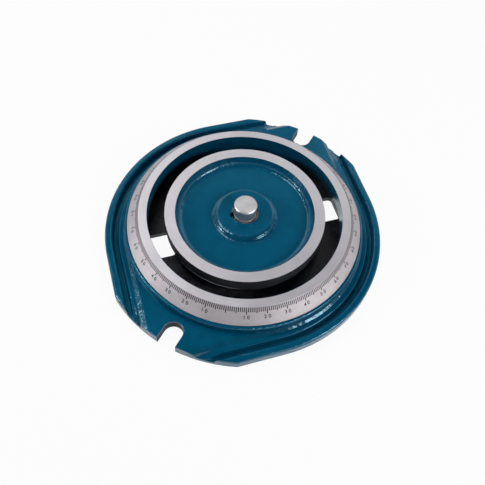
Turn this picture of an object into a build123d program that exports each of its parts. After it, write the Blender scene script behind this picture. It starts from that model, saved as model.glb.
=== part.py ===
"""Swivel base of a machine vise: painted iron base, graduated ring, T-slot and pivot pin.

Frame: millimetres, +Z up, origin at the middle of the underside. The two bolting lugs lie
on the Y axis. The vise sits on the two machined faces at ring_top_z, turns about the pivot
pin and is held down by bolts whose heads run in the ring-shaped T-slot.
"""

import os
from math import acos, atan2, cos, degrees, radians, sin

from build123d import *

os.makedirs("parts", exist_ok=True)

# ---------------------------------------------------------------- heights above the underside
ring_top_z = 34.0            # machined faces that carry the vise
lip_thickness = 14.0         # T-slot lips: the graduated ring and the rim of the hub
floor_relief = 1.2           # the floor plate stays this far off the machine table
floor_thickness = 5.0
gutter_floor_z = 4.0
shelf_z = 9.0
pad_top_z = 11.5
rim_top_z = 11.0

# ---------------------------------------------------------------- T-slot in plan
slot_mean_r = 82.0
neck_width = 16.0
head_width = 27.0            # room for the head of a T-slot bolt
window_width = 26.5          # openings in the floor that let a bolt head in
window_length = 26.0
window_corner_r = 4.0
window_angle = 45.0          # from the X axis; the second window is opposite

# ---------------------------------------------------------------- graduated ring
ring_flat_width = 7.8
ring_bevel_run = 11.2
ring_edge_height = 1.3       # plain edge under the bevel
ring_edge_chamfer = 0.4

# ---------------------------------------------------------------- base casting, going outwards
ledge_width = 2.6            # top of the plinth that shows round the ring
pad_slope_run = 4.1
pad_skirt_run = 2.0          # below the shelf, where it runs out
shelf_width = 6.7
shelf_end_z = 5.0            # the shelf falls to this height at the lugs' ends
shelf_run_out = 10.0         # over this length
gutter_width = 5.7
wall_draft = 0.8             # draft of the gutter's two walls
rim_width = 6.9
lug_reach = 7.0              # lug ends beyond the round flange
lug_corner_r = 7.0
bolt_slot_width = 18.0       # takes M16 table bolts
bolt_slot_web = 5.9          # metal between the plinth and the closed end of a bolt slot
rim_fillet = 2.3
cast_fillet = 1.5
slot_edge_fillet = 0.8
pad_fillet = 1.0
bottom_chamfer = 0.8

# ---------------------------------------------------------------- hub
face_width = 9.7             # machined face round the dish
dish_depth = 9.0
dish_wall_run = 3.0
dish_fillet = 6.0
dish_skin = 9.0              # thickness of the dish
boss_r = 27.0
boss_drop = 2.0              # boss top below the machined faces
boss_flare = 1.7
boss_fillet = 3.9
boss_foot_fillet = 3.0
under_boss_r = 20.0
under_boss_z = 2.0
seat_width = 11.5            # overlap of the floor plate with the hub and with the plinth
spigot_wall = 5.0
spigot_clearance = 0.05
rib_count = 6
rib_thickness = 7.0
rib_bottom_z = 4.0

# ---------------------------------------------------------------- pivot pin and its bush
pin_r = 10.5
pin_stands_proud = 10.7       # above the machined faces
pin_chamfer = 1.0
pin_clearance = 0.05
pin_relief_width = 1.6       # grinding relief between the shank and the free end
pin_relief_depth = 0.5
bush_wall = 2.0
bush_sink = 1.2              # bush top below the boss top
bush_chamfer = 0.9
pin_seat_z = 9.0             # ledge that the pin and the bush stand on
knock_out_r = 6.5
key_r = 4.0                  # dowel that keeps the pin from turning
key_length = 17.0
key_angle = -136.0
key_clearance = 0.1

# ---------------------------------------------------------------- fasteners
screw_r = 2.5                # M5 countersunk socket screws
screw_head_r = 5.0
screw_rim = 0.3              # cylindrical edge of the head
screw_socket_width = 3.0
screw_socket_depth = 1.8
screw_clearance = 0.25
thread_clearance = 0.05
ring_screw_length = 25.0
ring_screw_count = 8
ring_screw_wall = 5.0        # from the T-slot's wall to the screws' centres
hub_screw_length = 16.0
hub_screw_count = 6
dowel_r = 2.5
dowel_length = 14.0
dowel_in_ring = 7.0
dowel_angle = 0.0
tap_run_out = 0.6            # hole beyond the end of a screw or dowel

# ---------------------------------------------------------------- worked out from the above
plinth_top_z = ring_top_z - lip_thickness
floor_top_z = floor_relief + floor_thickness
neck_inner_r = slot_mean_r - neck_width / 2
neck_outer_r = slot_mean_r + neck_width / 2
head_inner_r = slot_mean_r - head_width / 2
head_outer_r = slot_mean_r + head_width / 2
ring_crease_r = neck_outer_r + ring_flat_width
ring_outer_r = ring_crease_r + ring_bevel_run
plinth_r = ring_outer_r + ledge_width
island_r = plinth_r + shelf_width
island_foot_r = island_r + wall_draft
gutter_outer_r = island_r + gutter_width
gutter_foot_r = gutter_outer_r - wall_draft
flange_r = gutter_outer_r + rim_width
lug_r = flange_r + lug_reach
beyond_lugs_r = lug_r + lug_reach
pad_foot_r = plinth_r + pad_slope_run / 2
pad_edge_r = plinth_r - pad_slope_run / 2
pad_skirt_r = pad_foot_r + pad_skirt_run
bolt_slot_end_r = plinth_r + bolt_slot_web
floor_outer_r = head_outer_r + seat_width
floor_inner_r = head_inner_r - seat_width
dish_r = neck_inner_r - face_width
dish_floor_z = ring_top_z - dish_depth
boss_top_z = ring_top_z - boss_drop
spigot_inner_r = floor_inner_r - spigot_wall
bush_inner_r = pin_r + pin_clearance
bush_outer_r = bush_inner_r + bush_wall
bush_top_z = boss_top_z - bush_sink
pin_top_z = ring_top_z + pin_stands_proud
key_top_z = pin_seat_z + key_length
ring_screw_circle_r = head_outer_r + ring_screw_wall
hub_screw_circle_r = head_inner_r - seat_width / 2
ring_screw_start = 180 / ring_screw_count
countersink_r = screw_head_r + screw_rim + screw_clearance
key_place = (pin_r * cos(radians(key_angle)), pin_r * sin(radians(key_angle)))

UP = (Align.CENTER, Align.CENTER, Align.MIN)


def polar(radius, angle):
    """Point in plan at a radius and an angle in degrees."""
    return (radius * cos(radians(angle)), radius * sin(radians(angle)))


def lugged_outline(size_r, reach_r):
    """Circle with a lug at each end of Y, whose flanks touch it at 45 degrees to the axes.

    The flanks are tangents, so outlines of different size_r stay parallel all the way round.
    """
    flank_end = 45 + degrees(acos(size_r / reach_r))
    with BuildSketch() as outline:
        with BuildLine():
            CenterArc((0, 0), size_r, 0, 45)
            Line(polar(size_r, 45), polar(reach_r, flank_end))
            CenterArc((0, 0), reach_r, flank_end, 90 - flank_end)
            mirror(about=Plane.YZ)
            mirror(about=Plane.XZ)
        make_face()
    return outline.sketch


def terrace(low_z, low_r, high_z, high_r, reach_r):
    """Layer of the casting over a lugged outline, with flanks that slope from low_r to high_r."""
    slope = degrees(atan2(low_r - high_r, high_z - low_z))
    with BuildPart() as layer:
        with BuildSketch(Plane.XY.offset(low_z)):
            add(lugged_outline(low_r, reach_r))
        extrude(amount=high_z - low_z, taper=slope)
    return layer.part


def shelf():
    """Terrace round the plinth, which falls away towards the lugs' ends."""
    run_per_height = shelf_run_out / (shelf_z - shelf_end_z)
    run_out_foot_r = lug_r + run_per_height * (shelf_end_z - gutter_floor_z)
    with BuildPart() as step:
        add(terrace(gutter_floor_z, island_foot_r, shelf_z, island_r, beyond_lugs_r))
        with Locations((0, 0, gutter_floor_z)):
            Cone(run_out_foot_r, lug_r - shelf_run_out, shelf_z - gutter_floor_z, align=UP,
                 mode=Mode.INTERSECT)
    return step.part


def lug_envelope(height):
    """Upright prism over the casting's outline, with the lugs' corners rounded."""
    with BuildPart() as envelope:
        with BuildSketch():
            add(lugged_outline(flange_r, lug_r))
        extrude(amount=height)
        corners = [e for e in envelope.edges().filter_by(Axis.Z)
                   if Vector(e.center().X, e.center().Y).length > lug_r - 0.01]
        fillet([e for e in corners if abs(e.center().X) > bolt_slot_width], lug_corner_r)
    return envelope.part


def rim():
    """Raised rim of the drip gutter; the gutter runs out through the lugs' ends."""
    with BuildPart() as lip:
        with BuildSketch(Plane.XY.offset(gutter_floor_z)):
            add(lugged_outline(flange_r, beyond_lugs_r))
        extrude(amount=rim_top_z - gutter_floor_z)
        add(terrace(gutter_floor_z, gutter_foot_r, rim_top_z, gutter_outer_r, beyond_lugs_r),
            mode=Mode.SUBTRACT)
    return lip.part


def edges_at(part, height):
    """Edges of a part that lie level at a height."""
    return part.edges().filter_by_position(Axis.Z, height - 0.01, height + 0.01)


def outline_edges(part, height, size_r):
    """Level edges at a height whose nearest point is size_r from the Z axis."""
    middle = Vertex(0, 0, height)
    return [e for e in edges_at(part, height) if abs(e.distance_to(middle) - size_r) < 0.05]


def ring_edges(part, radius, height):
    """Full or part circles about the Z axis, of a radius and at a height."""
    return [e for e in edges_at(part, height).filter_by(GeomType.CIRCLE)
            if abs(e.radius - radius) < 0.01 and abs(e.arc_center.X) + abs(e.arc_center.Y) < 0.01]


def countersunk_screw(length):
    """Countersunk socket screw, point upwards, with its flush face at Z = 0."""
    head_height = screw_rim + screw_head_r - screw_r
    with BuildPart() as screw:
        with BuildSketch(Plane.XZ):
            with BuildLine():
                Polyline((0, 0), (screw_head_r, 0), (screw_head_r, screw_rim), (screw_r, head_height),
                         (screw_r, length - screw_r / 2), (screw_r / 2, length), (0, length), close=True)
            make_face()
        revolve(axis=Axis.Z)
        with BuildSketch():
            RegularPolygon(screw_socket_width / 2, 6, major_radius=False)
        extrude(amount=screw_socket_depth, mode=Mode.SUBTRACT)
    return screw.part


# ---------------------------------------------------------------- base casting
with BuildPart() as base_casting:
    with BuildSketch():
        add(lugged_outline(flange_r, beyond_lugs_r))
    extrude(amount=gutter_floor_z)
    add(rim())
    add(shelf())
    add(terrace(gutter_floor_z, pad_skirt_r, shelf_z, pad_foot_r, beyond_lugs_r))
    add(terrace(shelf_z, pad_foot_r, pad_top_z, pad_edge_r, beyond_lugs_r))
    Cylinder(plinth_r, plinth_top_z, align=UP)
    add(lug_envelope(plinth_top_z), mode=Mode.INTERSECT)
    Cylinder(floor_outer_r, floor_top_z, align=UP, mode=Mode.SUBTRACT)
    Cylinder(head_outer_r, plinth_top_z, align=UP, mode=Mode.SUBTRACT)
    # open-ended slots for the table bolts
    with BuildSketch():
        for side in (1, -1):
            with Locations((0, side * (bolt_slot_end_r + bolt_slot_width / 2))):
                Circle(bolt_slot_width / 2)
            with Locations((0, side * (bolt_slot_end_r + lug_r) / 2 + side * bolt_slot_width / 2)):
                Rectangle(bolt_slot_width, lug_r - bolt_slot_end_r)
    extrude(amount=plinth_top_z, mode=Mode.SUBTRACT)
    # screw and dowel holes under the graduated ring
    with PolarLocations(ring_screw_circle_r, ring_screw_count, ring_screw_start):
        Hole(screw_r + screw_clearance)
    with Locations((0, 0, plinth_top_z)):
        with PolarLocations(ring_screw_circle_r, 2, dowel_angle):
            Hole(dowel_r, dowel_length - dowel_in_ring + tap_run_out)
    # rounded cast edges: rim, shelf, plinth, pads, foot of the gutter, bolt slots, underside
    rim_edges = outline_edges(base_casting, rim_top_z, flange_r)
    fillet(rim_edges + outline_edges(base_casting, rim_top_z, gutter_outer_r), rim_fillet)
    fillet(outline_edges(base_casting, shelf_z, island_r), cast_fillet)
    fillet(ring_edges(base_casting, plinth_r, plinth_top_z), cast_fillet)
    pad_edges = edges_at(base_casting, pad_top_z)
    fillet([e for e in pad_edges.filter_by(GeomType.LINE) if abs(e.center().X) > bolt_slot_width], pad_fillet)
    foot_edges = outline_edges(base_casting, gutter_floor_z, island_foot_r)
    fillet(foot_edges + outline_edges(base_casting, gutter_floor_z, gutter_foot_r), cast_fillet)
    pad_middle = Vertex(0, 0, pad_top_z)
    lug_edges = [e for e in edges_at(base_casting, pad_top_z) if e.distance_to(pad_middle) > plinth_r + 1]
    fillet(lug_edges, slot_edge_fillet)
    bottom_middle = Vertex(0, 0, 0)
    bottom_edges = [e for e in edges_at(base_casting, 0) if e.distance_to(bottom_middle) > plinth_r]
    chamfer(bottom_edges, bottom_chamfer)

# ---------------------------------------------------------------- graduated ring
with BuildPart() as graduated_ring:
    with BuildSketch(Plane.XZ):
        with BuildLine():
            Polyline((neck_outer_r, plinth_top_z), (ring_outer_r, plinth_top_z),
                     (ring_outer_r, plinth_top_z + ring_edge_height), (ring_crease_r, ring_top_z),
                     (neck_outer_r, ring_top_z), close=True)
        make_face()
    revolve(axis=Axis.Z)
    chamfer(ring_edges(graduated_ring, ring_outer_r, plinth_top_z), ring_edge_chamfer)
    ring_underside = Plane(origin=(0, 0, plinth_top_z), z_dir=(0, 0, -1))
    with Locations(ring_underside):
        with PolarLocations(ring_screw_circle_r, ring_screw_count, ring_screw_start):
            Hole(screw_r + thread_clearance, floor_relief + ring_screw_length - plinth_top_z + tap_run_out)
        with PolarLocations(ring_screw_circle_r, 2, dowel_angle):
            Hole(dowel_r, dowel_in_ring + tap_run_out)

# ---------------------------------------------------------------- T-slot floor
with BuildPart() as t_slot_floor:
    with BuildSketch(Plane.XY.offset(floor_relief)):
        Circle(floor_outer_r - spigot_clearance)
        Circle(floor_inner_r + spigot_clearance, mode=Mode.SUBTRACT)
        with PolarLocations(slot_mean_r, 2, window_angle):
            RectangleRounded(window_length, window_width, window_corner_r, mode=Mode.SUBTRACT)
    extrude(amount=floor_thickness)
    floor_underside = Plane(origin=(0, 0, floor_relief), z_dir=(0, 0, -1))
    with Locations(floor_underside):
        with PolarLocations(ring_screw_circle_r, ring_screw_count, ring_screw_start):
            CounterSinkHole(screw_r + screw_clearance, countersink_r)
        with PolarLocations(hub_screw_circle_r, hub_screw_count):
            CounterSinkHole(screw_r + screw_clearance, countersink_r)

# ---------------------------------------------------------------- hub with its dish and pin boss
with BuildPart() as centre_hub:
    with BuildSketch(Plane.XZ):
        with BuildLine():
            Polyline((bush_outer_r, boss_top_z), (boss_r, boss_top_z), (boss_r + boss_flare, dish_floor_z),
                     (dish_r - dish_wall_run, dish_floor_z), (dish_r, ring_top_z),
                     (neck_inner_r, ring_top_z), (neck_inner_r, plinth_top_z),
                     (head_inner_r, plinth_top_z), (head_inner_r, floor_top_z),
                     (floor_inner_r, floor_top_z), (floor_inner_r, floor_relief),
                     (spigot_inner_r, floor_relief), (spigot_inner_r, dish_floor_z - dish_skin),
                     (under_boss_r, dish_floor_z - dish_skin), (under_boss_r, under_boss_z),
                     (knock_out_r, under_boss_z), (knock_out_r, pin_seat_z),
                     (bush_outer_r, pin_seat_z), close=True)
        make_face()
    revolve(axis=Axis.Z)
    fillet(ring_edges(centre_hub, boss_r, boss_top_z), boss_fillet)
    fillet(ring_edges(centre_hub, boss_r + boss_flare, dish_floor_z), boss_foot_fillet)
    fillet(ring_edges(centre_hub, dish_r - dish_wall_run, dish_floor_z), dish_fillet)
    chamfer(ring_edges(centre_hub, bush_outer_r, boss_top_z), bush_chamfer / 2)
    # ribs under the dish
    with PolarLocations((under_boss_r + spigot_inner_r) / 2, rib_count, 180 / rib_count):
        with Locations((0, 0, rib_bottom_z)):
            Box(spigot_inner_r - under_boss_r + spigot_wall, rib_thickness,
                dish_floor_z - dish_skin / 2 - rib_bottom_z, align=UP)
    with Locations((*key_place, pin_seat_z)):
        Cylinder(key_r, boss_top_z - pin_seat_z, align=UP, mode=Mode.SUBTRACT)
    hub_seat = Plane(origin=(0, 0, floor_top_z), z_dir=(0, 0, -1))
    with Locations(hub_seat):
        with PolarLocations(hub_screw_circle_r, hub_screw_count):
            Hole(screw_r + thread_clearance, floor_relief + hub_screw_length - floor_top_z + tap_run_out)

# ---------------------------------------------------------------- bush, pin and key
with BuildPart() as pivot_bush:
    with Locations((0, 0, pin_seat_z)):
        Cylinder(bush_outer_r, bush_top_z - pin_seat_z, align=UP)
        Cylinder(bush_inner_r, bush_top_z - pin_seat_z, align=UP, mode=Mode.SUBTRACT)
    chamfer(ring_edges(pivot_bush, bush_inner_r, bush_top_z), bush_chamfer)
    with Locations((*key_place, pin_seat_z)):
        Cylinder(key_r, bush_top_z - pin_seat_z, align=UP, mode=Mode.SUBTRACT)

with BuildPart() as pivot_pin:
    with Locations((0, 0, pin_seat_z)):
        Cylinder(pin_r, pin_top_z - pin_seat_z, align=UP)
    chamfer(pivot_pin.edges().filter_by(GeomType.CIRCLE), pin_chamfer)
    with BuildSketch(Plane.XY.offset(boss_top_z - pin_relief_width / 2)):
        Circle(pin_r)
        Circle(pin_r - pin_relief_depth, mode=Mode.SUBTRACT)
    extrude(amount=pin_relief_width, mode=Mode.SUBTRACT)
    with Locations((*key_place, pin_seat_z)):
        Cylinder(key_r + key_clearance, key_length + key_clearance, align=UP, mode=Mode.SUBTRACT)

with BuildPart() as pin_key:
    with Locations((*key_place, pin_seat_z)):
        Cylinder(key_r, key_length, align=UP)

# ---------------------------------------------------------------- fasteners
with BuildPart() as ring_screws:
    with Locations((0, 0, floor_relief)):
        with PolarLocations(ring_screw_circle_r, ring_screw_count, ring_screw_start):
            add(countersunk_screw(ring_screw_length))

with BuildPart() as hub_screws:
    with Locations((0, 0, floor_relief)):
        with PolarLocations(hub_screw_circle_r, hub_screw_count):
            add(countersunk_screw(hub_screw_length))

with BuildPart() as ring_dowels:
    with Locations((0, 0, plinth_top_z + dowel_in_ring - dowel_length)):
        with PolarLocations(ring_screw_circle_r, 2, dowel_angle):
            Cylinder(dowel_r, dowel_length, align=UP)

# ---------------------------------------------------------------- one STEP file for each node
nodes = {
    "base_casting": base_casting,
    "graduated_ring": graduated_ring,
    "t_slot_floor": t_slot_floor,
    "centre_hub": centre_hub,
    "pivot_bush": pivot_bush,
    "pivot_pin": pivot_pin,
    "pin_key": pin_key,
    "ring_screws": ring_screws,
    "hub_screws": hub_screws,
    "ring_dowels": ring_dowels,
}
for name, node in nodes.items():
    node.part.label = name
    export_step(node.part, f"parts/{name}.step")
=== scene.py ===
"""Looks for the swivel base of a machine vise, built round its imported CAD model."""
import math
import random

import bpy
from mathutils import Matrix, Quaternion, Vector


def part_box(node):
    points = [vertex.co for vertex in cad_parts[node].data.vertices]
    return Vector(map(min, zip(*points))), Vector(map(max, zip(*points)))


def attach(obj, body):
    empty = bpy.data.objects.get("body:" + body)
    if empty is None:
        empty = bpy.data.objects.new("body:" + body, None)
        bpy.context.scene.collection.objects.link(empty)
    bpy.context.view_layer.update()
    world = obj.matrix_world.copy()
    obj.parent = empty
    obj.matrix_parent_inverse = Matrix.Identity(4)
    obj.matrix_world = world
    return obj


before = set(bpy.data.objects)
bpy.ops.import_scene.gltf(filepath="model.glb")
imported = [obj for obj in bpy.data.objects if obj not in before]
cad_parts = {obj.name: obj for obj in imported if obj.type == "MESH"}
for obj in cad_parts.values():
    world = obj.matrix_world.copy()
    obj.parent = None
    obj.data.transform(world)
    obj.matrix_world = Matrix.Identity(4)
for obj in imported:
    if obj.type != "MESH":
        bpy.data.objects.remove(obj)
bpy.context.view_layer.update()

MM = 0.001

# ---------------------------------------------------------------- sizes, in metres, from the CAD
ring_low, ring_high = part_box("graduated_ring")
RING_TOP_Z = ring_high.z
RING_OUTER_R = ring_high.x
BEVEL_RUN = 11.2 * MM                    # the bevelled band that carries the scale
RING_EDGE_HEIGHT = 1.3 * MM              # upright edge left below the bevel
CREASE_R = RING_OUTER_R - BEVEL_RUN      # where the ring's flat face turns down into the bevel
BEVEL_DROP = RING_TOP_Z - ring_low.z - RING_EDGE_HEIGHT
BEVEL_LENGTH = math.hypot(BEVEL_RUN, BEVEL_DROP)
NECK_OUTER_R = 90.0 * MM                 # the walls of the T-slot's neck
NECK_INNER_R = 74.0 * MM
LIP_BOTTOM_Z = 20.0 * MM                 # under the lips of the T-slot
DISH_R = 64.3 * MM
DISH_FLOOR_Z = 25.0 * MM
BOSS_TOP_Z = 32.0 * MM
BOSS_FOOT_R = 31.0 * MM
RIM_OUTER_R = 130.8 * MM
RIM_TOP_Z = 11.0 * MM
BOLT_SLOT_HALF = 9.0 * MM
BOLT_SLOT_END = 117.5 * MM               # from the pivot to the round end of a bolt slot

# ---------------------------------------------------------------- the scale
ZERO_ANGLE = -70.65                      # degrees, counterclockwise from +X
TICK_START = 0.2 * MM                    # below the crease, down the bevel
TICK_ENDS = {1: 4.4 * MM, 5: 5.5 * MM, 10: 6.6 * MM}
TICK_WIDTH = 0.85 * MM
TICK_PROUD = 0.015 * MM
MARK_DEPTH = 0.1 * MM
DIGIT_HEIGHT = 3.3 * MM
DIGIT_SHARE = 0.7                        # height of the built-in font's digits over its size
DIGIT_MIDDLE = 9.3 * MM                  # down the bevel
DIGIT_PITCH = 2.0                        # degrees between the two digits of a number
DIGIT_BOLD = 0.09 * MM                   # added all round a stroke
STAMP_TURN = 0.1                         # degrees round the ring that a stamped digit may stray
STAMP_LEAN = 3.0                         # degrees that it may lean
STAMP_DROP = 0.12 * MM                   # distance up or down the bevel that it may stray
STAMP_SEED = 7

# ---------------------------------------------------------------- grain, as a noise's scale and height
LUMPS, LUMP_HEIGHT = 95.0, 0.7 * MM      # left in the iron by the sand mould
SAND, SAND_HEIGHT = 420.0, 0.27 * MM
PEEL, PEEL_HEIGHT = 800.0, 0.12 * MM     # orange peel in the enamel
TURNING, TURNING_HEIGHT = 900.0, 0.02 * MM
SPECKS, SPECK_HEIGHT = 420.0, 0.015 * MM
IRON_TURNING, IRON_TURNING_HEIGHT = 700.0, 0.02 * MM
GRINDING, GRINDING_HEIGHT = 1400.0, 0.012 * MM
BUSH_TURNING, BUSH_TURNING_HEIGHT = 2500.0, 0.01 * MM
SCREW_HEIGHT = 0.02 * MM
BOSS_RUN = 0.70                          # how far the enamel eases the boss's flank, as a slope

# ---------------------------------------------------------------- where finishes end, edges wear, and highlights are painted
SHARP = 0.1 * MM                         # distance over which one finish gives way to the next
FACE_SKIN = 0.25 * MM                    # depth below a turned face that still counts as the face
FOOT_SKIN = 0.05 * MM
BEYOND_DISH = 2.0 * MM                   # from the dish outwards, where the hub's walls turn black
BELOW_LIP = 1.0 * MM                     # from the lip downwards, where all of the hub turns black
ARRIS = 1.0 * MM                         # half the width of the lightened stretch at an edge: painted highlight, and on the rim also wear
ARRIS_INSET = 0.6 * MM                   # from the edge itself to the middle of that stretch
FOOT_ARRIS = 0.9 * MM
LIP_HIGHLIGHT = (66.0 * MM, 73.0 * MM)        # towards a lug, where the painted highlight on the hub's lip fades in

# ---------------------------------------------------------------- gloss
NOISE_LOW, NOISE_HIGH = 0.3, 0.7         # what a noise mostly stays between
LEVEL_UP, TILTED_UP = 0.998, 0.94        # upward part of the normal where a surface is flat or tilted
LEVEL_CALM = 0.15                        # share of the casting's grain left where it lies flat
ENAMEL_ROUGH = (0.12, 0.18)
ENAMEL_GLOSS = (0.45, 0.70)              # flat and sloping
TURNED_ROUGH = (0.36, 0.48)
SCALE_ROUGHER = 0.08                     # the bevel with the scale is duller than the flat face
IRON_ROUGH = (0.22, 0.34)
WALL_ROUGHER = 0.25                      # walls in black iron, and the bolt slots' painted shade, are duller than the T-slot's floor
WALL_GLOSS = 0.02
SLOT_FLOOR_GLOSS = 0.3
SLOT_PAINTED_SHADE = 0.9                         # share of black painted as shade on a bolt slot's walls, the rest is enamel
PIN_ROUGH = (0.36, 0.46)
BUSH_ROUGH = (0.50, 0.38)                # duller where the oil is dark
SCREW_ROUGH = (0.32, 0.48)
INK_ROUGH = (0.5, 0.7)
METALLIC = 0.85                          # bright steel under a thin film of oil
OILED_METALLIC = 0.7
OXIDE_METALLIC = 0.8


# ---------------------------------------------------------------- node materials
class Graph:
    """One node material, built round its Principled shader."""

    def __init__(self, name):
        self.material = bpy.data.materials.new(name)
        self.material.use_nodes = True
        self.tree = self.material.node_tree
        self.shader = self.tree.nodes["Principled BSDF"]
        self.place = self.node("TexCoord").outputs["Object"]

    def node(self, kind, inputs=None, **settings):
        made = self.tree.nodes.new("ShaderNode" + kind)
        for key, value in settings.items():
            setattr(made, key, value)
        for key, value in (inputs or {}).items():
            self.put(made.inputs[key], value)
        return made

    def put(self, socket, value):
        """Link a socket to another node's output, or set it to a plain value."""
        if isinstance(value, bpy.types.NodeSocket):
            self.tree.links.new(value, socket)
        else:
            socket.default_value = value

    def math(self, operation, a, b=0.0):
        return self.node("Math", {0: a, 1: b}, operation=operation).outputs[0]

    def add(self, *terms):
        total = terms[0]
        for term in terms[1:]:
            total = self.math("ADD", total, term)
        return total

    def times(self, a, b):
        return self.math("MULTIPLY", a, b)

    def both(self, a, b):
        """Where two masks overlap."""
        return self.times(a, b)

    def either(self, a, b):
        """Where one mask or the other is."""
        return self.math("MAXIMUM", a, b)

    def step(self, value, low, high, start=0.0, end=1.0):
        """start below low, end above high, and even between them."""
        return self.node("MapRange", {"Value": value, "From Min": low, "From Max": high,
                                      "To Min": start, "To Max": end}).outputs[0]

    def above(self, value, edge, soft=SHARP):
        """0 up to the edge, and 1 from a soft stretch beyond it."""
        return self.step(value, edge, edge + soft)

    def below(self, value, edge, soft=SHARP):
        """1 up to the edge, and 0 from a soft stretch beyond it."""
        return self.step(value, edge, edge + soft, 1.0, 0.0)

    def near(self, value, middle, half):
        """1 at the middle, falling evenly to 0 half away on either side."""
        away = self.math("ABSOLUTE", self.math("SUBTRACT", value, middle))
        return self.step(away, 0.0, half, 1.0, 0.0)

    def mix(self, share, a, b):
        """Colour a, or b where the share is 1."""
        return self.node("Mix", {0: share, 6: a, 7: b}, data_type="RGBA").outputs[2]

    def blend(self, share, a, b):
        """Number a, or b where the share is 1."""
        return self.node("Mix", {0: share, 2: a, 3: b}, data_type="FLOAT").outputs[0]

    def noise(self, scale, detail=2.0, roughness=0.5):
        """Noise in swells about 1 / scale metres wide."""
        return self.node("TexNoise", {"Vector": self.place, "Scale": scale, "Detail": detail,
                                      "Roughness": roughness}).outputs["Fac"]

    def rings(self, scale, detail, roughness=0.5):
        """Noise in rings round the pivot, about 1 / scale metres apart, as a lathe leaves its marks."""
        return self.node("TexNoise", {"W": self.times(self.radius(), scale), "Scale": 1.0,
                                      "Detail": detail, "Roughness": roughness},
                         noise_dimensions="1D").outputs["Fac"]

    def cloud(self, scale):
        """Noise in soft patches with finer ones in them."""
        return self.noise(scale, 4.0, 0.6)

    def vary(self, noise, start, end):
        """start where a noise is low, end where it is high."""
        return self.step(noise, NOISE_LOW, NOISE_HIGH, start, end)

    def radius(self):
        flat = self.node("VectorMath", {0: self.place, 1: (1, 1, 0)}, operation="MULTIPLY").outputs[0]
        return self.node("VectorMath", {0: flat}, operation="LENGTH").outputs["Value"]

    def height(self):
        return self.node("SeparateXYZ", {0: self.place}).outputs["Z"]

    def across(self):
        """Distance from the plane through the pivot and both bolt slots."""
        return self.math("ABSOLUTE", self.node("SeparateXYZ", {0: self.place}).outputs["X"])

    def along(self):
        """Distance from the pivot towards the nearer lug."""
        return self.math("ABSOLUTE", self.node("SeparateXYZ", {0: self.place}).outputs["Y"])

    def slope(self):
        """0 where the surface lies flat, 1 where it is tilted or stands up."""
        up = self.node("SeparateXYZ", {0: self.node("NewGeometry").outputs["True Normal"]}).outputs["Z"]
        return self.step(self.math("ABSOLUTE", up), TILTED_UP, LEVEL_UP, 1.0, 0.0)

    def bump(self, height):
        """A height in metres, as a normal."""
        return self.node("Bump", {"Height": height, "Distance": 1.0, "Strength": 1.0}).outputs["Normal"]

    def finish(self, **sockets):
        """Put each value on the shader's socket of that name, and hand over the material."""
        for key, value in sockets.items():
            self.put(self.shader.inputs[key.replace("_", " ")], value)
        return self.material


def rgb(red, green, blue):
    return (red, green, blue, 1.0)


WHITE = rgb(1.0, 1.0, 1.0)
FLOOR_GREY = rgb(0.85, 0.85, 0.85)
PAINT = rgb(0.0, 0.086, 0.172)
PAINT_DEEP = rgb(0.0, 0.076, 0.154)
# lighter enamel at edges: rubbed, and painted highlight
PAINT_WORN_AND_HIGHLIT = rgb(0.09, 0.21, 0.28)
GLOSS_FLAT = rgb(0.10, 0.75, 1.0)        # tint of the enamel's highlights
GLOSS_SLOPE = rgb(0.50, 0.85, 1.0)
STEEL_LIGHT = rgb(0.70, 0.68, 0.725)
STEEL_DARK = rgb(0.60, 0.58, 0.62)
SCALE_LIGHT = rgb(0.545, 0.51, 0.54)
SCALE_DARK = rgb(0.415, 0.385, 0.40)
PIN_LIGHT = rgb(0.70, 0.69, 0.70)
PIN_DARK = rgb(0.58, 0.57, 0.585)
IRON_BLACK = rgb(0.011, 0.011, 0.016)
IRON_WORN = rgb(0.062, 0.062, 0.068)
# light grey for the painted highlight on the hub's lip
ARRIS_HIGHLIGHT_GREY = rgb(0.75, 0.75, 0.77)
OIL_DARK = rgb(0.035, 0.028, 0.03)
OIL_BROWN = rgb(0.30, 0.27, 0.275)
SCREW_DARK = rgb(0.03, 0.03, 0.034)
SCREW_LIGHT = rgb(0.06, 0.058, 0.06)
INK_DARK = rgb(0.006, 0.006, 0.008)
INK_WORN = rgb(0.022, 0.020, 0.022)


def enamel_parts(g):
    """Colour, roughness and height of gloss enamel over a sand casting."""
    lumps = g.noise(LUMPS, 1.0)
    colour = g.mix(g.step(lumps, 0.35, 0.65), PAINT_DEEP, PAINT)
    rough = g.vary(g.noise(160.0, 3.0), *ENAMEL_ROUGH)
    grain = g.add(g.times(lumps, LUMP_HEIGHT), g.times(g.noise(SAND, 1.0), SAND_HEIGHT),
                  g.times(g.noise(PEEL, 1.0), PEEL_HEIGHT))
    return colour, rough, g.times(grain, g.blend(g.slope(), LEVEL_CALM, 1.0))


def turned_parts(g):
    """Colour, roughness and height of steel turned in a lathe, the scale's bevel darker and duller."""
    turning = g.rings(TURNING, 3.0, 0.7)
    cloud = g.cloud(45.0)
    specks = g.noise(SPECKS, 3.0, 0.65)
    shade = g.step(g.add(turning, cloud), 0.7, 1.3)
    face = g.mix(shade, STEEL_DARK, STEEL_LIGHT)
    scale = g.mix(g.step(g.add(shade, specks), 0.5, 1.4), SCALE_DARK, SCALE_LIGHT)
    on_scale = g.above(g.radius(), CREASE_R + 0.1 * MM, 0.5 * MM)
    rough = g.step(g.add(cloud, specks), 0.7, 1.3, *TURNED_ROUGH)
    rough = g.add(rough, g.times(on_scale, SCALE_ROUGHER))
    height = g.add(g.times(turning, TURNING_HEIGHT), g.times(specks, SPECK_HEIGHT))
    return g.mix(on_scale, face, scale), rough, height


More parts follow.
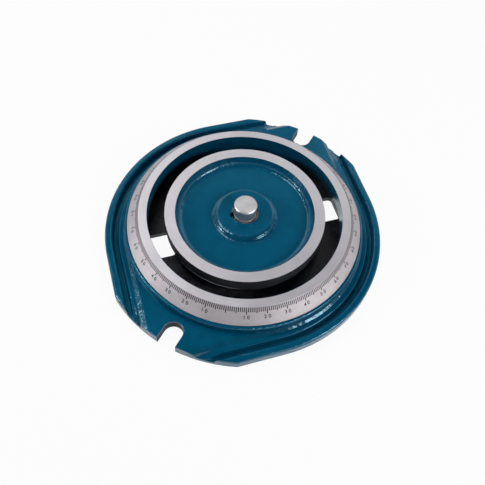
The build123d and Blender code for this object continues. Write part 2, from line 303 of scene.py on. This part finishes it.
def iron_parts(g):
    """Colour, roughness and height of turned iron gone black with oil, its marks concentric."""
    turning = g.rings(IRON_TURNING, 4.0, 0.75)
    cloud = g.cloud(60.0)
    worn = g.add(turning, cloud, g.times(g.noise(18.0, 2.0), 1.6))
    colour = g.mix(g.step(worn, 1.6, 2.2), IRON_BLACK, IRON_WORN)
    return colour, g.vary(cloud, *IRON_ROUGH), g.times(turning, IRON_TURNING_HEIGHT)


def painted_casting(name, bare_parts, black_iron_and_shade_parts=None, wear_and_highlight_parts=None, wear_and_highlight_to=PAINT_WORN_AND_HIGHLIT,
                    enamel_run=None):
    """Enamel over iron, with bare turned metal, with black iron (in the bolt slots a painted shade),
    and with lighter edges, partly rubbed enamel and partly painted highlight, where their masks are 1.

    Each mask is a function of the graph, and enamel_run is a function that gives more height.
    """
    g = Graph(name)
    colour, rough, height = enamel_parts(g)
    if enamel_run:
        height = g.add(height, enamel_run(g))
    tint = g.mix(g.slope(), GLOSS_FLAT, GLOSS_SLOPE)
    gloss = g.blend(g.slope(), *ENAMEL_GLOSS)
    # black iron on the hub, and painted shade in the bolt slots
    if black_iron_and_shade_parts:
        black = black_iron_and_shade_parts(g)
        iron, iron_rough, iron_height = iron_parts(g)
        colour = g.mix(black, colour, iron)
        rough = g.blend(black, rough, g.add(iron_rough, WALL_ROUGHER))
        height = g.blend(black, height, iron_height)
        gloss = g.blend(black, gloss, WALL_GLOSS)
    if wear_and_highlight_parts:
        # lighter edges: rubbed enamel, and painted highlight
        colour = g.mix(wear_and_highlight_parts(g), colour, wear_and_highlight_to)
    bare = bare_parts(g)
    metal, metal_rough, metal_height = turned_parts(g)
    return g.finish(Base_Color=g.mix(bare, colour, metal), Roughness=g.blend(bare, rough, metal_rough),
                    Metallic=g.blend(bare, 0.0, METALLIC), Specular_Tint=g.mix(bare, tint, WHITE),
                    Specular_IOR_Level=gloss, Normal=g.bump(g.blend(bare, height, metal_height)))


def hub_bare(g):
    """The face turned flat round the dish."""
    return g.both(g.above(g.height(), RING_TOP_Z - FACE_SKIN),
                  g.above(g.radius(), DISH_R - 0.02 * MM, 0.04 * MM))


def hub_rubbed(g):
    """The lip's lower arris where it passes the lugs, painted light grey as a highlight."""
    arris = g.both(g.near(g.height(), LIP_BOTTOM_Z + 0.5 * MM, 1.2 * MM),
                   g.near(g.radius(), NECK_INNER_R, ARRIS))
    return g.both(g.step(arris, 0.2, 0.6), g.step(g.along(), *LIP_HIGHLIGHT))


def boss_run(g):
    """Enamel run down the boss's flank and thick round its foot, which eases how the flank shades."""
    down = g.step(g.height(), DISH_FLOOR_Z, BOSS_TOP_Z, 1.0, 0.0)
    beyond = g.step(g.radius(), BOSS_FOOT_R - 1.0 * MM, BOSS_FOOT_R)
    return g.times(g.either(down, beyond), BOSS_RUN * (BOSS_TOP_Z - DISH_FLOOR_Z))


def hub_black(g):
    """The hub's walls in the T-slot and all below its lip."""
    return g.either(g.above(g.radius(), DISH_R + BEYOND_DISH),
                    g.below(g.height(), LIP_BOTTOM_Z - BELOW_LIP))


def bolt_slot_black(g):
    """The walls of the bolt slots, darkened nearly to black as painted shade."""
    inside = g.both(g.below(g.across(), BOLT_SLOT_HALF + 0.1 * MM, 0.2 * MM),
                    g.above(g.along(), BOLT_SLOT_END - 0.3 * MM, 0.2 * MM))
    return g.both(inside, g.times(g.below(g.height(), RIM_TOP_Z - 1.2 * MM, 0.6 * MM), SLOT_PAINTED_SHADE))


def casting_rubbed(g):
    """The rim's outer edge and the foot's, lightened in patches: partly enamel rubbed by handling,
    partly painted highlight on the edge and painted reflection at the foot.
    """
    rim = g.both(g.near(g.radius(), RIM_OUTER_R - ARRIS_INSET, ARRIS),
                 g.near(g.height(), RIM_TOP_Z - ARRIS_INSET, ARRIS))
    foot = g.near(g.height(), FOOT_ARRIS, FOOT_ARRIS)
    patches = g.both(g.step(g.noise(60.0, 3.0), 0.42, 0.62), g.step(g.noise(380.0), 0.40, 0.60))
    return g.both(g.either(rim, foot), patches)


def underside_bare(g):
    """The foot's underside, machined flat for the table."""
    return g.below(g.height(), FOOT_SKIN)


def ring_bare(g):
    """All of the ring but its wall in the T-slot's neck, which is painted."""
    return g.above(g.radius(), NECK_OUTER_R + 0.1 * MM)


def black_iron():
    """The T-slot's floor."""
    g = Graph("black_iron")
    colour, rough, height = iron_parts(g)
    return g.finish(Base_Color=colour, Roughness=rough, Specular_IOR_Level=SLOT_FLOOR_GLOSS,
                    Normal=g.bump(height))


def ground_steel():
    """The pin and the dowels: bright, with a fine even grain."""
    g = Graph("ground_steel")
    cloud = g.cloud(130.0)
    return g.finish(Base_Color=g.mix(g.step(cloud, 0.35, 0.65), PIN_DARK, PIN_LIGHT),
                    Roughness=g.vary(cloud, *PIN_ROUGH), Metallic=METALLIC,
                    Normal=g.bump(g.times(g.noise(GRINDING, 2.0), GRINDING_HEIGHT)))


def oiled_steel():
    """The bush and the key: turned steel brown with old oil, dark in patches."""
    g = Graph("oiled_steel")
    cloud = g.cloud(170.0)
    return g.finish(Base_Color=g.mix(g.step(cloud, 0.4, 0.6), OIL_DARK, OIL_BROWN),
                    Roughness=g.vary(cloud, *BUSH_ROUGH), Metallic=OILED_METALLIC,
                    Normal=g.bump(g.times(g.rings(BUSH_TURNING, 2.0), BUSH_TURNING_HEIGHT)))


def screw_steel():
    """The screws: black oxide, a little uneven."""
    g = Graph("screw_steel")
    cloud = g.cloud(240.0)
    return g.finish(Base_Color=g.mix(g.step(cloud, 0.35, 0.65), SCREW_DARK, SCREW_LIGHT),
                    Roughness=g.vary(cloud, *SCREW_ROUGH), Metallic=OXIDE_METALLIC,
                    Normal=g.bump(g.times(cloud, SCREW_HEIGHT)))


def scale_ink():
    """The dark filling of the scale's marks, worn here and there."""
    g = Graph("scale_ink")
    cloud = g.noise(900.0, 3.0)
    return g.finish(Base_Color=g.mix(g.step(cloud, 0.4, 0.7), INK_DARK, INK_WORN),
                    Roughness=g.vary(cloud, *INK_ROUGH))


FINISHES = {
    "base_casting": painted_casting("casting_enamel", underside_bare, black_iron_and_shade_parts=bolt_slot_black,
                                    wear_and_highlight_parts=casting_rubbed),
    "centre_hub": painted_casting("hub_enamel", hub_bare, black_iron_and_shade_parts=hub_black,
                                  wear_and_highlight_parts=hub_rubbed, wear_and_highlight_to=ARRIS_HIGHLIGHT_GREY,
                                  enamel_run=boss_run),
    "graduated_ring": painted_casting("ring_steel", ring_bare),
    "t_slot_floor": black_iron(),
    "pivot_bush": oiled_steel(),
    "pivot_pin": ground_steel(),
    "pin_key": oiled_steel(),
    "ring_dowels": ground_steel(),
    "ring_screws": screw_steel(),
    "hub_screws": screw_steel(),
}
for name, material in FINISHES.items():
    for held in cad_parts[name].material_slots:
        held.material = material

# ---------------------------------------------------------------- the scale on the ring
# the sides of a tick, whose corners are counted outwards first, then across it, then down the bevel
BOX_FACES = ((0, 2, 3, 1), (4, 5, 7, 6), (0, 1, 5, 4), (2, 6, 7, 3), (1, 3, 7, 5), (0, 4, 6, 2))


def bevel_frame(angle, down):
    """Axes on the bevel at an angle in degrees: x runs round the ring, y up the bevel, z out of it."""
    turn = math.radians(angle)
    outward = Vector((math.cos(turn), math.sin(turn), 0))
    slope = (outward * BEVEL_RUN - Vector((0, 0, BEVEL_DROP))) / BEVEL_LENGTH
    along = Vector((-math.sin(turn), math.cos(turn), 0))
    made = Matrix((along, -slope, along.cross(-slope))).transposed().to_4x4()
    made.translation = outward * CREASE_R + Vector((0, 0, RING_TOP_Z)) + slope * down
    return made


def add_mesh(name, vertices, faces, material, body):
    """A new piece, which rides with a body and takes the finish it is given."""
    mesh = bpy.data.meshes.new(name)
    mesh.from_pydata([tuple(v) for v in vertices], [], faces)
    mesh.validate()
    mesh.update()
    mesh.materials.append(material)
    piece = bpy.data.objects.new(name, mesh)
    bpy.context.scene.collection.objects.link(piece)
    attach(piece, body)


def scale_ticks(material):
    """A line at every degree, longer at the fives and longest at the tens."""
    vertices, faces = [], []
    for degree in range(360):
        kind = 10 if degree % 10 == 0 else 5 if degree % 5 == 0 else 1
        place = bevel_frame(ZERO_ANGLE + degree, 0.0)
        start = len(vertices)
        for down in (TICK_START, TICK_ENDS[kind]):
            for side in (-1, 1):
                for out in (-MARK_DEPTH, TICK_PROUD):
                    vertices.append(place @ Vector((side * TICK_WIDTH / 2, -down, out)))
        faces += [[start + i for i in face] for face in BOX_FACES]
    add_mesh("scale_ticks", vertices, faces, material, "base")


def digit_mesh(text):
    """Vertices and faces of one stamped digit, its middle at the origin."""
    curve = bpy.data.curves.new("digit", "FONT")
    curve.body = text
    curve.size = DIGIT_HEIGHT / DIGIT_SHARE
    curve.extrude = MARK_DEPTH / 2
    curve.offset = DIGIT_BOLD
    curve.align_x = "CENTER"
    holder = bpy.data.objects.new("digit", curve)
    mesh = bpy.data.meshes.new_from_object(holder)
    vertices = [v.co.copy() for v in mesh.vertices]
    faces = [list(p.vertices) for p in mesh.polygons]
    middle = Vector((0, (min(v.y for v in vertices) + max(v.y for v in vertices)) / 2, 0))
    bpy.data.objects.remove(holder)
    bpy.data.meshes.remove(mesh)
    return [v - middle for v in vertices], faces


def stamped_number(degree):
    """The angle from the nearer of the scale's two zeros, which lie opposite each other."""
    turned = min(degree, 360 - degree)
    return str(min(turned, 180 - turned))


def scale_numbers(material):
    """A number at every ten degrees but the two zeros, each digit a little out of place."""
    draw = random.Random(STAMP_SEED)
    digits = {text: digit_mesh(text) for text in "0123456789"}
    vertices, faces = [], []
    for degree in range(0, 360, 10):
        number = stamped_number(degree)
        if number == "0":
            continue
        for place, text in enumerate(number):
            stray = draw.uniform(-STAMP_TURN, STAMP_TURN)
            angle = ZERO_ANGLE + degree + (place - 0.5) * DIGIT_PITCH + stray
            lean = Matrix.Rotation(math.radians(draw.uniform(-STAMP_LEAN, STAMP_LEAN)), 4, "Z")
            stamp = bevel_frame(angle, DIGIT_MIDDLE + draw.uniform(-STAMP_DROP, STAMP_DROP)) @ lean
            stamp = stamp @ Matrix.Translation((0, 0, TICK_PROUD - MARK_DEPTH / 2))
            start = len(vertices)
            shape, sides = digits[text]
            vertices += [stamp @ v for v in shape]
            faces += [[start + i for i in side] for side in sides]
    add_mesh("scale_numbers", vertices, faces, material, "base")


INK = scale_ink()
scale_ticks(INK)
scale_numbers(INK)

# ---------------------------------------------------------------- camera
CAMERA_TARGET = Vector((10.69, -23.29, 20.0)) * MM
CAMERA_AZIMUTH = 24.27                   # degrees, 0 looks along +Y
CAMERA_ELEVATION = 58.02
CAMERA_DISTANCE = 546.45 * MM
CAMERA_ROLL = 5.25
CAMERA_LENS = 44.205                     # mm on the default 36 mm sensor


def direction(azimuth, elevation):
    """From the object towards a camera or lamp there."""
    a, e = math.radians(azimuth), math.radians(elevation)
    return Vector((math.sin(a) * math.cos(e), -math.cos(a) * math.cos(e), math.sin(e)))


camera = bpy.data.objects.new("camera", bpy.data.cameras.new("camera"))
bpy.context.scene.collection.objects.link(camera)
bpy.context.scene.camera = camera
towards = direction(CAMERA_AZIMUTH, CAMERA_ELEVATION)
camera.location = CAMERA_TARGET + towards * CAMERA_DISTANCE
camera.rotation_mode = "QUATERNION"
camera.rotation_quaternion = ((-towards).to_track_quat("-Z", "Y")
                              @ Quaternion((0, 0, 1), math.radians(CAMERA_ROLL)))
camera.data.lens = CAMERA_LENS

# ---------------------------------------------------------------- floor, lamps and world
FLOOR_R = 4.0                            # metres
FLOOR_GAP = 0.05 * MM                    # below the object's foot
WALL_HEIGHT = 1.92
WALL_SIDES = 96
FLOOR_SHOWN = 0.94                       # share of plain white, the rest takes the object's shadow
LAMP_DISTANCE = 1.2
SKY_STRENGTH = 0.05


def floor_white():
    """Plain white to the camera and in reflections, and a pale grey that takes light and shadow."""
    g = Graph("floor")
    g.tree.nodes.remove(g.shader)
    seen = g.node("LightPath").outputs
    share = g.either(seen["Is Camera Ray"], seen["Is Glossy Ray"])
    share = g.either(share, seen["Is Transmission Ray"])
    plain = g.node("BsdfDiffuse", {"Color": FLOOR_GREY}).outputs[0]
    white = g.node("Emission", {"Color": WHITE, "Strength": 1.0}).outputs[0]
    shown = g.node("MixShader", {0: g.times(share, FLOOR_SHOWN), 1: plain, 2: white}).outputs[0]
    g.put(g.tree.nodes["Material Output"].inputs["Surface"], shown)
    return g.material


def floor():
    """A round floor with an upright backdrop all round."""
    turns = [math.tau * i / WALL_SIDES for i in range(WALL_SIDES)]
    corners = [(FLOOR_R * math.cos(turn), FLOOR_R * math.sin(turn), z)
               for z in (0.0, WALL_HEIGHT) for turn in turns]
    faces = [tuple(range(WALL_SIDES))]
    for i in range(WALL_SIDES):
        j = (i + 1) % WALL_SIDES
        faces.append((j, i, i + WALL_SIDES, j + WALL_SIDES))
    mesh = bpy.data.meshes.new("floor")
    mesh.from_pydata(corners, [], faces)
    mesh.materials.append(floor_white())
    piece = bpy.data.objects.new("floor", mesh)
    piece.location.z = -FLOOR_GAP
    bpy.context.scene.collection.objects.link(piece)


def lamp(name, azimuth, elevation, width, height, power):
    """A lamp that faces the object, its azimuth counted from the camera's, in metres and watts."""
    data = bpy.data.lights.new(name, "AREA")
    data.shape = "RECTANGLE"
    data.size, data.size_y = width, height
    data.energy = power
    made = bpy.data.objects.new(name, data)
    away = direction(CAMERA_AZIMUTH + azimuth, elevation)
    made.location = away * LAMP_DISTANCE
    made.rotation_mode = "QUATERNION"
    made.rotation_quaternion = away.to_track_quat("Z", "Y")
    bpy.context.scene.collection.objects.link(made)


def sky():
    """A faint even light from all round."""
    world = bpy.data.worlds.new("world")
    bpy.context.scene.world = world
    world.use_nodes = True
    background = world.node_tree.nodes["Background"]
    background.inputs["Color"].default_value = WHITE
    background.inputs["Strength"].default_value = SKY_STRENGTH


floor()
lamp("left", -78, 27, 0.28, 0.30, 4.2)
lamp("left_high", -110, 64, 0.38, 0.38, 3.2)
lamp("right", 64, 37, 0.34, 0.34, 5.9)
lamp("front", 40, 20, 0.4, 0.4, 0.8)
lamp("back_left", -150, 40, 0.5, 0.5, 1.4)
lamp("back_right", 150, 40, 0.5, 0.5, 1.1)
lamp("back_low", 180, 40, 0.5, 0.5, 0.5)
lamp("back", 180, 62, 0.5, 0.5, 0.35)
sky()
bpy.context.scene.view_settings.view_transform = "Standard"
